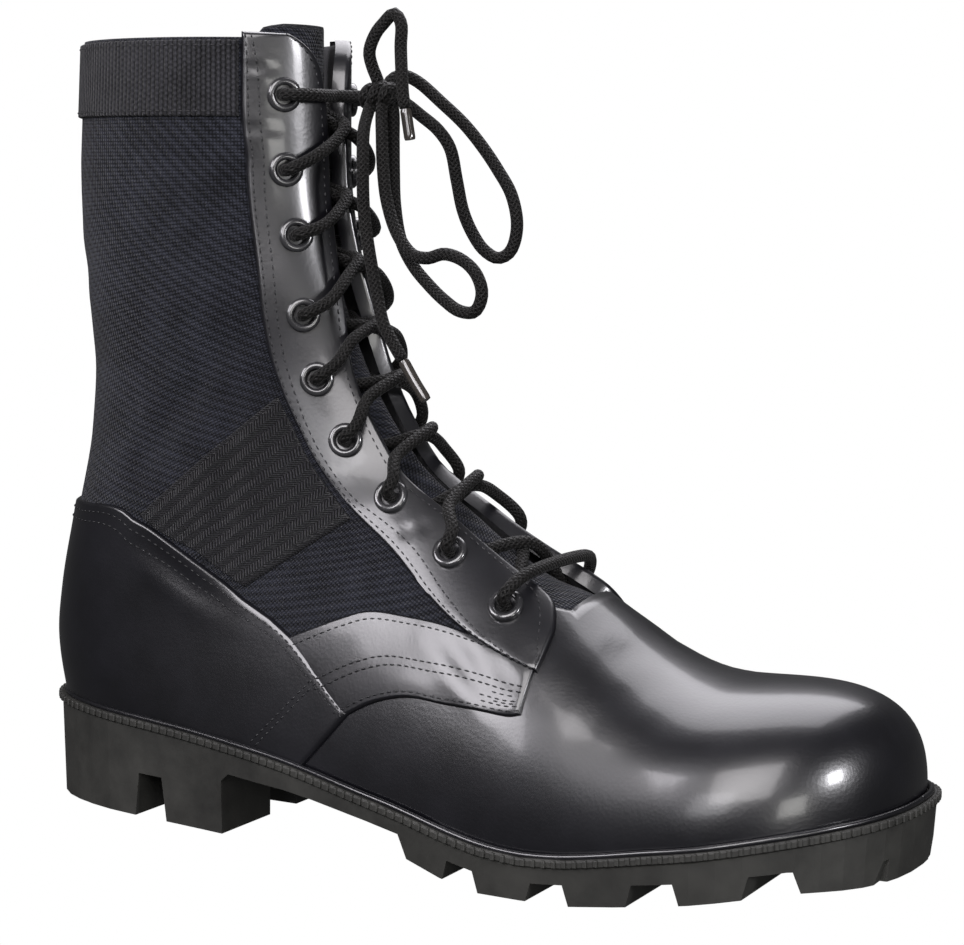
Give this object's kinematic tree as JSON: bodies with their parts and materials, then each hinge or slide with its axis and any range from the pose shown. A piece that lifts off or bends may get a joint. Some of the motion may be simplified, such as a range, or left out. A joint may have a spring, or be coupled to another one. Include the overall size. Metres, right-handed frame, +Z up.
{
  "type": "jungle boot",
  "caption": "Right-foot lace-up jungle boot: hollow black leather and canvas upper, eyelets up the throat, tongue, insole and lugged rubber outsole with a stepped heel.",
  "frame": {"origin": "middle of the boot's length and width, on the ground under the heel and the ball", "axes": "+X towards the toe, +Y towards the medial side, +Z up"},
  "size_m": [0.3081, 0.1074, 0.2602],
  "materials": {
    "black_rubber": "dull moulded rubber",
    "black_leather": "polished smooth leather",
    "black_canvas": "coarse plain-weave canvas",
    "black_webbing": "ribbed webbing",
    "grey_lining": "plain lining",
    "blackened_metal": "satin black enamel",
    "black_cord": "round braided lace",
    "clear_plastic": "clear lace tip"
  },
  "bodies": {
    "root": {"outsole": "black_rubber", "upper": "black_leather", "insole": "grey_lining", "tongue": "black_canvas", "heel_counter": "black_leather", "collar_band": "black_webbing", "eyestay_lateral": "black_leather", "eyestay_medial": "black_leather", "wing_lateral": "black_leather", "wing_medial": "black_leather", "ankle_webbing_lateral": "black_webbing", "ankle_webbing_medial": "black_webbing", "eyelet_lateral_1": "blackened_metal", "eyelet_lateral_2": "blackened_metal", "eyelet_lateral_3": "blackened_metal", "eyelet_lateral_4": "blackened_metal", "eyelet_lateral_5": "blackened_metal", "eyelet_lateral_6": "blackened_metal", "eyelet_lateral_7": "blackened_metal", "eyelet_lateral_8": "blackened_metal", "eyelet_lateral_9": "blackened_metal", "eyelet_medial_1": "blackened_metal", "eyelet_medial_2": "blackened_metal", "eyelet_medial_3": "blackened_metal", "eyelet_medial_4": "blackened_metal", "eyelet_medial_5": "blackened_metal", "eyelet_medial_6": "blackened_metal", "eyelet_medial_7": "blackened_metal", "eyelet_medial_8": "blackened_metal", "eyelet_medial_9": "blackened_metal", "lace_crossing_2": "black_cord", "lace_crossing_3": "black_cord", "lace_crossing_4": "black_cord", "lace_crossing_5": "black_cord", "lace_crossing_6": "black_cord", "lace_crossing_7": "black_cord", "lace_crossing_8": "black_cord", "lace_bar": "black_cord", "lace_under": "black_cord", "lace_feed_lateral": "black_cord", "lace_feed_medial": "black_cord", "lace_knot": "black_cord", "lace_loop_right": "black_cord", "lace_loop_low": "black_cord", "lace_end_up": "black_cord", "lace_end_down": "black_cord", "aglet_up": "clear_plastic", "aglet_down": "clear_plastic"}
  },
  "joints": []
}
